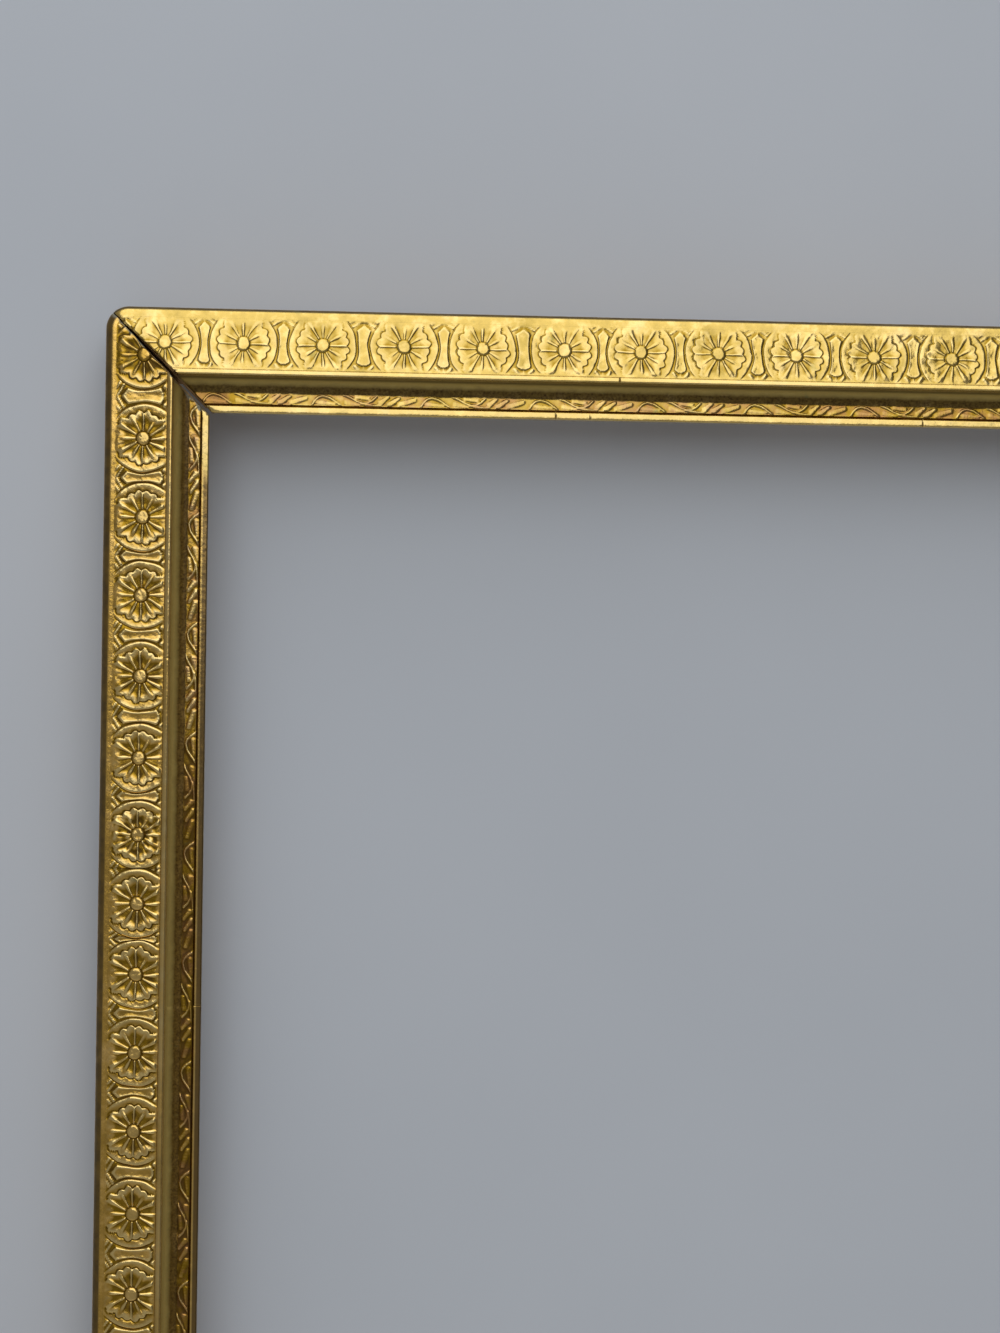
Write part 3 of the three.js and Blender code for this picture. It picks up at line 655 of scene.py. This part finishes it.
# The pressed face of a strip, between its two ends; one rosette may be spoilt
def pressedFace(rail, first, ends, offsets, spoilt):
    places = stripPlaces(first, ends[1], offsets)
    sound = len(unitMeshes) - 1
    bm = bmesh.new()
    for i, place in enumerate(places):
        before = len(bm.verts)
        bm.from_mesh(unitMeshes[sound if i - 1 == spoilt else (i * 2 + rail["turns"]) % sound])
        bm.verts.ensure_lookup_table()
        left = (place - places[i - 1]) / 2 if i else rosette["pitch"] / 2
        right = (places[i + 1] - place) / 2 if i + 1 < len(places) else rosette["pitch"] / 2
        for v in bm.verts[before:]:
            room = left if v.co.x < 0 else right
            arc = math.sqrt(rosette["ring"] ** 2 - v.co.y ** 2)
            if abs(v.co.x) > arc + 1e-4:
                stretched = arc + (abs(v.co.x) - arc) * (room - arc) / (rosette["pitch"] / 2 - arc)
                v.co.x = math.copysign(stretched, v.co.x)
            v.co.x += place
    seams = [v for v in bm.verts if v.is_boundary]
    bmesh.ops.remove_doubles(bm, verts=seams, dist=2e-3)
    # counted from the start of the rail
    for v in bm.verts:
        v.co.x = fromReference(rail, v.co.x)
        v.co.y += friezeMiddle + rail["lean"]
        level = edgeLevel(v.co.y)
        v.co.z = friezeUp(v.co.y) - strip["ground"] * (1 - level) + v.co.z * rail["depth"] * (1 - 0.9 * level)
    for inward, keep in ((moulding["margin"] + strip["edge"], 1), (moulding["friezeEnd"] - strip["edge"], -1)):
        cutOff(bm, (0, inward, 0), (0, keep, 0))
    for end, keep in zip(ends, (1, -1)):
        cutOff(bm, (fromReference(rail, end), 0, 0), (keep if rail["from"] == "start" else -keep, 0, 0))
    cutMitres(bm, rail)
    return bm


def makeStrip(name, side, first, ends, offsets, spoilt=None):
    rail, s = rails[side], strip
    bm = pressedFace(rail, first, ends, offsets, spoilt)
    layers = bm.verts.layers.float
    cavity = layers.get("cavity")
    across, chip, soilAndShade = (layers.new(layer) for layer in ("across", "chip", "soilAndShade"))
    for v in bm.verts:
        x, inward, _ = v.co
        drift = noise.noise_vector((x * 0.09, inward * 0.35, rail["turns"] * 5.0))
        warp = noise.noise_vector((x * 0.4, inward * 0.4, rail["turns"] * 5.0 + 2.0))
        fine = noise.noise((x * 0.8, inward * 0.8, rail["turns"] * 3.0))
        grit = noise.noise((x * 2.3, inward * 2.3, rail["turns"] * 3.0 + 1.7))
        fromMitre = min(x, rail["length"] - x) - inward - moulding["setback"]
        inside = 1 - edgeLevel(inward)
        v[across] = inward
        v[soilAndShade] = rail["soilAndShade"]
        v[chip] = mitreChip(rail, x, inward)
        v[cavity] *= inside
        if side == "left":  # darker up to the first spindle
            v[cavity] = clamp(v[cavity] + s["cornerDarkening"] * (1 - ease(*s["cornerRun"], x)), -1, 1)
        v.co.x += (s["drift"][0] * drift.x + s["warp"][0] * warp.x) * ease(0.0, 2.0, fromMitre)
        v.co.y += (s["drift"][1] * drift.y + s["warp"][1] * warp.y) * inside
        v.co.z += (s["drift"][2] * drift.z + s["fine"] * fine + s["grit"] * grit) * inside
        v.co.z -= waver(rail, x, inward, friezeUp(inward))
    wearMitres(bm, rail)
    # its edges go down into the channel and its underside is closed
    rim = [e for e in bm.edges if e.is_boundary]
    skirt = bmesh.ops.extrude_edge_only(bm, edges=rim)["geom"]
    for v in vertsOf(skirt):
        v.co.z = friezeUp(v.co.y) - s["ground"] - s["thickness"]
    bmesh.ops.contextual_create(bm, geom=edgesOf(skirt))
    piece = finishPiece(bm, name + "_pressed", rail, [name])
    print(name, len(piece.data.polygons), "faces")


# How far each rosette was laid off its place; the second length starts unevenly
laidOff = {
    "top": {0: 0.15, 1: -0.2, 2: -0.3, 4: -0.17, 5: 0.35, 7: -0.2, 8: -0.17, 9: -0.25, 10: -0.1},
    "left": {0: -0.25, 1: 0.4, 2: 0.2, 3: -0.2, 4: -0.07, 5: 0.22, 6: -0.4},
    "right": {0: 0.2, 2: -0.3, 3: 0.15, 5: -0.2, 6: 0.1},
    "bottom": {1: 0.2, 2: -0.15, 4: 0.3, 6: -0.25, 9: 0.2, 12: -0.2},
}
nearJoin = {0: 0.35, 1: -1.4, 2: -1.75, 3: -2.1, **{i: -1.75 for i in range(4, 16)}}
for side in ("bottom", "top"):
    makeStrip(side + "_frieze_strip", side, rails[side]["first"], (0.0, rails[side]["length"]), laidOff[side])
for side in ("left", "right"):
    makeStrip(side + "_frieze_strip_upper", side, rails[side]["first"], (0.0, strip["join"] - strip["joinGap"]),
              laidOff[side], strip["spoilt"])
    makeStrip(side + "_frieze_strip_lower", side, strip["join"] + strip["joinToRosette"],
              (strip["join"] + strip["joinGap"], rails[side]["length"]), nearJoin)


# Gilt facing: side, margin, channel for the strip, bead, cove, scroll band and sight edge, run to one profile
facing = {
    "column": 0.8,
    "endColumn": 0.3,
    "endRun": 3.3,
    "sideRows": (4.6, 9.2),
    "coveRows": 12,
    "scrollRows": 14,
    "scrollCuts": 3,
    "sightRows": 3,
    "cracks": {"top": [(94.0, 11.2, 12.7), (82.6, 17.7, 19.1), (89.0, 18.3, 19.1), (151.4, 17.7, 19.1)],
               "left": [(64.0, 11.2, 12.6), (127.5, 17.7, 19.1)],
               "right": [(52.0, 11.2, 12.6), (203.0, 17.7, 19.1)],
               "bottom": [(120.0, 11.2, 12.6), (64.5, 17.7, 19.1)]},
    "crackHalf": 0.1,
    "crackDepth": 0.11,
    # its underside over the wood
    "sideCoat": 1.0,
    "friezeCoat": 2.1,
    "shoulderCoat": 3.1,
    "stepAt": 12.0,
    "lipUp": 11.3,
    "lipEnd": 18.2,
    # the groove beside the scroll band, and where the sight edge starts after it
    "quirkAt": 0.1,
    "sightAt": 0.22,
    "sightShadeRun": (8.5, 14.5),  # the sight edge carries no soilAndShade up to the first and all of it from the second, so its painted shade starts there
    # what wavers: all above the first height, the bead to the sight edge above the second, the side and the nose
    "waverUp": 13.9,
    "innerWaverUp": 11.9,
    "innerFrom": 11.2,
    "sideEnd": 0.6,
    "noseFrom": 18.5,
}


def arcPoints(centre, radius, first, last, steps):
    angles = [first + (last - first) * i / steps for i in range(1, steps + 1)]
    return [(centre[0] + radius * math.cos(a), centre[1] + radius * math.sin(a)) for a in angles]


def facingProfile():
    m, f = moulding, facing
    shoulderUp = m["friezeOuterUp"] - m["shoulder"]
    beadAt = m["friezeEnd"] + m["beadRadius"]
    beadEnd = beadAt + m["beadRadius"]
    points = [(0, up) for up in (m["foot"], *f["sideRows"], shoulderUp)]
    points += arcPoints((m["shoulder"], shoulderUp), m["shoulder"], math.pi, math.pi / 2, 8)
    points += [(m["margin"], friezeUp(m["margin"])), (m["margin"], friezeUp(m["margin"]) - m["channel"])]
    points += [(m["friezeEnd"], m["friezeInnerUp"] - m["channel"]), (m["friezeEnd"], m["friezeInnerUp"])]
    sunk = math.asin((m["friezeInnerUp"] - m["beadUp"]) / m["beadRadius"])
    bead = arcPoints((beadAt, m["beadUp"]), m["beadRadius"], math.pi - sunk, 0, 10)
    points += [(x + m["beadLean"] * (max(up - m["beadUp"], 0) / m["beadRadius"]) ** 2, up) for x, up in bead]
    for i in range(1, f["coveRows"] + 1):
        t = i / f["coveRows"]
        points.append((beadEnd + (m["scrollStart"] - beadEnd) * t * t,
                       m["coveUp"] + (m["beadUp"] - m["coveUp"]) * (1 - t) ** 2))
    for i in range(f["scrollRows"] + 1):
        t = i / f["scrollRows"]
        points.append((m["scrollStart"] + (m["scrollEnd"] - m["scrollStart"]) * t,
                       m["scrollOuterUp"] + (m["scrollInnerUp"] - m["scrollOuterUp"]) * t))
    points += [(m["scrollEnd"] + f["quirkAt"], m["sightUp"] - m["quirk"])]
    sightStart, sightCrest = m["scrollEnd"] + f["sightAt"], m["rail"] - m["nose"]
    for i in range(f["sightRows"] + 1):
        points.append((sightStart + (sightCrest - sightStart) * i / f["sightRows"],
                       m["sightUp"] - m["sightTilt"] * (1 - i / f["sightRows"])))
    points += arcPoints((sightCrest, m["sightUp"] - m["nose"]), m["nose"], math.pi / 2, 0, 6)
    points += [(m["rail"], m["rabbetUp"]), (f["lipEnd"], m["rabbetUp"]), (f["lipEnd"], f["lipUp"]),
               (f["stepAt"], f["lipUp"])]
    points += [(inward, friezeUp(inward) - f["friezeCoat"]) for inward in (f["stepAt"], m["margin"])]
    points += [(f["sideCoat"], friezeUp(f["sideCoat"]) - f["shoulderCoat"]), (f["sideCoat"], m["foot"])]
    return points


def columnPlaces(rail, cracks):
    places = []
    x = 0.0
    while x < rail["length"]:
        places.append(x)
        atEnd = min(x, rail["length"] - x) < facing["endRun"]
        x += facing["endColumn"] if atEnd else facing["column"]
    places.append(rail["length"])
    for at, _, _ in cracks:
        x = fromReference(rail, at)
        places += [x - facing["crackHalf"], x, x + facing["crackHalf"]]
    return sorted(places)


# Running vine of the scroll band; x along it, y from -1.05 at the cove to 1.05 at the sight edge
vine = {
    "period": 20.0,
    "start": 2.4,
    "ground": 0.08,
    "leastDepth": 0.35,
    "meanRounds": 8,
    "fullHollow": 0.13,
    "stems": [
        [(0.0, 1.05), (0.5, 0.2), (1.2, -0.5), (2.0, -0.75), (3.2, -0.45), (4.3, 0.25), (5.3, 1.0)],
        [(5.9, -1.05), (7.0, -0.55), (8.2, 0.15), (9.3, 0.5), (10.3, 0.42), (11.1, -0.05), (11.8, -0.75)],
        [(9.0, 0.62), (10.6, 0.85), (12.6, 1.0)],
    ],
    "stemHalf": 0.34,
    "stemRise": 0.21,
    # leaves: root, tip, half width at each, rise
    "leaves": [
        ((1.2, 0.5), (4.2, 0.7), 0.5, 0.3, 0.15),
        ((6.4, 0.4), (8.6, 0.85), 0.6, 0.3, 0.15),
        ((8.2, -0.6), (10.3, -0.4), 0.4, 0.5, 0.15),
        ((12.6, 0.4), (13.9, -0.7), 0.6, 0.4, 0.18),
        ((14.2, 0.7), (15.9, -0.5), 0.62, 0.42, 0.2),
        ((16.2, 0.6), (18.9, -0.3), 0.6, 0.5, 0.16),
    ],
}


# Dirt lies thicker on some runs of the scroll band and thins out at their ends: first and last place, amount
dirtFade = 9
scrollDirt = {
    "bottom": [(60, 140, 0.4)],
    "right": [(40, 120, 0.4)],
    "top": [(0, 20, 0.9), (20, 128, 0.3), (128, 215, 0.6)],
    "left": [(85, 281, 0.45)],
}


def dirtAlong(side, along):
    return max(amount * ease(first - dirtFade, first, along) * (1 - ease(last, last + dirtFade, along))
               for first, last, amount in scrollDirt[side])


def scrollRelief(x, y):
    x %= vine["period"]
    height = 0.0
    for offset in (-vine["period"], 0.0, vine["period"]):
        near = x + offset
        for stem in vine["stems"]:
            if near < stem[0][0] - 0.5 or near > stem[-1][0] + 0.5:
                continue
            d = min(segmentDistance(near, y, *a, *b) for a, b in zip(stem, stem[1:]))
            height = max(height, vine["stemRise"] * (1 - ease(0.06, vine["stemHalf"], d)))
        for root, tip, rootHalf, tipHalf, rise in vine["leaves"]:
            if near < root[0] - 0.8 or near > tip[0] + 0.8:
                continue
            run = Vector(tip) - Vector(root)
            t = clamp((Vector((near, y)) - Vector(root)).dot(run) / run.length_squared)
            half = rootHalf + (tipHalf - rootHalf) * t
            d = segmentDistance(near, y, *root, *tip) / half
            vein = 0.02 * (0.5 + 0.5 * math.cos(2 * math.pi * near / 0.55)) if rise < 0.2 else 0.0
            height = max(height, (rise - vein) * math.sqrt(max(0.0, 1 - d * d)) if d < 1 else 0.0)
    return height


# The corner nails go in through the top and bottom rails
nailHoles = {"fromEnd": 6.6, "heights": (2.9, 6.4), "radius": 1.5, "depth": 1.6}


def drillNailHoles(piece, rail):
    n = nailHoles
    bm = bmesh.new()
    for along in (n["fromEnd"], rail["length"] - n["fromEnd"]):
        for height in n["heights"]:
            lie = Matrix.Translation((along, 0, height)) @ Matrix.Rotation(math.pi / 2, 4, "X")
            bmesh.ops.create_cone(bm, cap_ends=True, segments=32, radius1=n["radius"], radius2=n["radius"],
                                  depth=2 * n["depth"], matrix=lie)
    bm.transform(railPlace(rail))
    cutterMesh = bpy.data.meshes.new("nailHoles")
    bm.to_mesh(cutterMesh)
    bm.free()
    cutter = bpy.data.objects.new("nailHoles", cutterMesh)
    bpy.context.scene.collection.objects.link(cutter)
    drill = piece.modifiers.new("nailHoles", "BOOLEAN")
    drill.operation, drill.solver, drill.object = "DIFFERENCE", "EXACT", cutter
    drilled = bpy.data.meshes.new_from_object(piece.evaluated_get(bpy.context.evaluated_depsgraph_get()))
    piece.modifiers.clear()
    piece.data = drilled
    bpy.data.objects.remove(cutter)


def makeFacing(side):
    rail, m, f = rails[side], moulding, facing
    cracks = f["cracks"][side]
    places = columnPlaces(rail, cracks)
    bm = bmesh.new()
    layers = bm.verts.layers.float
    band, cavity, across, chip, soilAndShade = (layers.new(layer) for layer in ("band", "cavity", "across", "chip", "soilAndShade"))
    profile = [bm.verts.new((0, inward, up)) for inward, up in facingProfile()]
    for v in profile:
        isScroll = m["scrollStart"] - 0.001 < v.co.y < m["scrollEnd"] + 0.001
        v[band] = 1.0 if isScroll and v.co.z > m["scrollOuterUp"] - 0.001 else 0.0
    edges = [bm.edges.new(pair) for pair in zip(profile, profile[1:] + profile[:1])]
    bmesh.ops.spin(bm, geom=profile + edges, axis=(1, 0, 0), dvec=(1, 0, 0), angle=0, steps=len(places) - 1)
    for v in bm.verts:
        v.co.x = places[round(v.co.x)]
    runs = [e for e in bm.edges if all(v[band] > 0.5 for v in e.verts)
            and abs(e.verts[0].co.y - e.verts[1].co.y) < 1e-4]
    bmesh.ops.subdivide_edges(bm, edges=runs, cuts=f["scrollCuts"], use_grid_fill=True)
    # press the vine
    pressed = [v for v in bm.verts if v[band] > 0.5]
    rise = {}
    for v in pressed:
        y = v.co.y - (m["scrollStart"] + m["scrollEnd"]) / 2
        fade = ease(0.0, 0.2, (m["scrollEnd"] - m["scrollStart"]) / 2 - abs(y))
        stands = scrollRelief(fromReference(rail, v.co.x) + vine["start"], y) - vine["ground"]
        rise[v] = fade * (vine["leastDepth"] + (1 - vine["leastDepth"]) * rail["depth"]) * stands
    mean = meanHeights(rise, vine["meanRounds"])
    for v in pressed:
        dirt = dirtAlong(side, fromReference(rail, v.co.x))
        v[cavity] = clamp((mean[v] - rise[v]) / vine["fullHollow"] + dirt, -1, 1)
        v.co.z += rise[v]
    for v in bm.verts:
        x, inward, up = v.co
        v[across] = inward
        fromMitre = min(x, rail["length"] - x) - inward - m["setback"]
        v[soilAndShade] = rail["soilAndShade"] * (ease(*f["sightShadeRun"], fromMitre) if inward > m["scrollEnd"] + 0.2 else 1.0)
        if abs(inward - m["scrollEnd"] - f["quirkAt"]) < 0.01:
            v[cavity] = 0.8
        slack = waver(rail, x, inward, up)
        isInner = inward > f["innerFrom"] and up > f["innerWaverUp"] and v[band] < 0.5
        if isInner or up > f["waverUp"]:
            v.co.z -= slack
        if inward < f["sideEnd"]:
            v.co.y += slack
        if inward > f["noseFrom"]:
            v.co.y -= slack
        for at, first, last in cracks:
            if first < inward < last and abs(x - fromReference(rail, at)) < 0.02 and up > m["rabbetUp"] + 0.5:
                v.co.z -= f["crackDepth"]
                v[cavity] = 1.0
    cutMitres(bm, rail, closed=True)
    for v in bm.verts:
        v[chip] = mitreChip(rail, v.co.x, v.co.y)
    wearMitres(bm, rail)
    piece = finishPiece(bm, side + "_facing_gilt", rail, [side + "_rail_facing"])
    if side in ("bottom", "top"):
        drillNailHoles(piece, rail)
    print(piece.name, len(piece.data.polygons), "faces")


for side in rails:
    makeFacing(side)

# Bare wood and hardware keep their solids
pineLevel = pineMaterial("sawnPineLevel", (pine["stretch"], 1.0, 1.0))
pineUpright = pineMaterial("sawnPineUpright", (1.0, pine["stretch"], 1.0))
brass = hardwareMaterial("dulledBrass")
zinc = hardwareMaterial("dulledZinc")
for name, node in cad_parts.items():
    if name.endswith("_wood"):
        finish = pineUpright if name.startswith(("left", "right")) else pineLevel
    elif name.startswith("turn_button"):
        finish = brass
    elif name.startswith(("hanger", "corner_nail")):
        finish = zinc
    else:
        continue
    node.data.materials.clear()
    node.data.materials.append(finish)
print("wood and hardware dressed")

# Floor: a pale grey painted board
floorBoard = {"size": 6.0, "paint": "#d0d5db", "shade": "#cbd0d6", "patchesPerMetre": 9.0, "roughness": 0.62}


def makeFloor():
    bm = bmesh.new()
    bmesh.ops.create_grid(bm, x_segments=4, y_segments=4, size=floorBoard["size"] / 2)
    mesh = bpy.data.meshes.new("floor_board")
    bm.to_mesh(mesh)
    bm.free()
    material, tree = newMaterial("paintedBoard")
    coords = addNode(tree, "ShaderNodeTexCoord").outputs["Object"]
    cloud = addNode(tree, "ShaderNodeTexNoise", {"Vector": coords, "Scale": floorBoard["patchesPerMetre"],
                                                 "Detail": 4.0}).outputs["Fac"]
    paint = addNode(tree, "ShaderNodeValToRGB", {"Fac": cloud}, stops=[
        (0.3, floorBoard["shade"]), (0.7, floorBoard["paint"])]).outputs["Color"]
    shader = addNode(tree, "ShaderNodeBsdfPrincipled", {"Base Color": paint,
                                                        "Roughness": floorBoard["roughness"]}).outputs["BSDF"]
    addNode(tree, "ShaderNodeOutputMaterial", {"Surface": shader})
    mesh.materials.append(material)
    floor = bpy.data.objects.new("floor_board", mesh)
    bpy.context.scene.collection.objects.link(floor)


makeFloor()

# Soft light from one broad panel beyond the head of the frame, in a room that is paler at its two ends than at its
# sides, and least at the right
lighting = {
    "room": "#d2d2d2",
    "sides": 0.17,
    "ends": 0.66,
    "overhead": 0.47,  # share of the ends' light that comes from above
    "left": 0.3,  # and from the left
    "panel": {"at": (-0.12, 1.095, 0.997), "aim": (-0.12, 0.151, -0.036), "size": (1.3, 2.45), "power": 13.9,
              "tint": "#f6f9ff"},
}


def makeLights():
    scene = bpy.context.scene
    scene.world = bpy.data.worlds.new("studioRoom")
    scene.world.use_nodes = True
    tree = scene.world.node_tree
    tree.nodes.clear()
    toward = addNode(tree, "ShaderNodeTexCoord").outputs["Generated"]
    parts = addNode(tree, "ShaderNodeSeparateXYZ", {"Vector": toward}).outputs
    endward, upward = (addNode(tree, "ShaderNodeMath", {0: parts[axis], 1: parts[axis]},
                               operation="MULTIPLY").outputs["Value"] for axis in "YZ")
    paler = addNode(tree, "ShaderNodeMath", {0: upward, 1: lighting["overhead"], 2: endward},
                    operation="MULTIPLY_ADD").outputs["Value"]
    paler = addNode(tree, "ShaderNodeMath", {0: parts["X"], 1: -lighting["left"], 2: paler},
                    operation="MULTIPLY_ADD").outputs["Value"]
    strength = addNode(tree, "ShaderNodeMapRange", {"Value": paler, "To Min": lighting["sides"],
                                                    "To Max": lighting["ends"]}).outputs["Result"]
    room = addNode(tree, "ShaderNodeBackground", {"Color": colour(lighting["room"]),
                                                  "Strength": strength}).outputs["Background"]
    addNode(tree, "ShaderNodeOutputWorld", {"Surface": room})
    p = lighting["panel"]
    lamp = bpy.data.lights.new("panel", "AREA")
    lamp.shape = "RECTANGLE"
    lamp.size, lamp.size_y = p["size"]
    lamp.energy = p["power"]
    lamp.color = colour(p["tint"])[:3]
    panel = bpy.data.objects.new("panel", lamp)
    panel.location = p["at"]
    panel.rotation_euler = (Vector(p["aim"]) - Vector(p["at"])).to_track_quat("-Z", "Y").to_euler()
    scene.collection.objects.link(panel)
    scene.view_settings.view_transform = "Standard"


makeLights()

# Camera nearly straight above the upper left corner
cameraPlace = {"at": (-85.595, 70.370, 567.759), "turn": (0.00861, -0.07886, 0.01316), "lens": 108.0,
               "sensor": 36.0}


def makeCamera():
    data = bpy.data.cameras.new("camera")
    data.lens = cameraPlace["lens"]
    data.sensor_fit = "HORIZONTAL"
    data.sensor_width = cameraPlace["sensor"]
    data.clip_start = 0.01
    camera = bpy.data.objects.new("camera", data)
    camera.location = Vector(cameraPlace["at"]) * mm
    camera.rotation_euler = cameraPlace["turn"]
    bpy.context.scene.collection.objects.link(camera)
    bpy.context.scene.camera = camera


makeCamera()
print("floor, light and camera set")
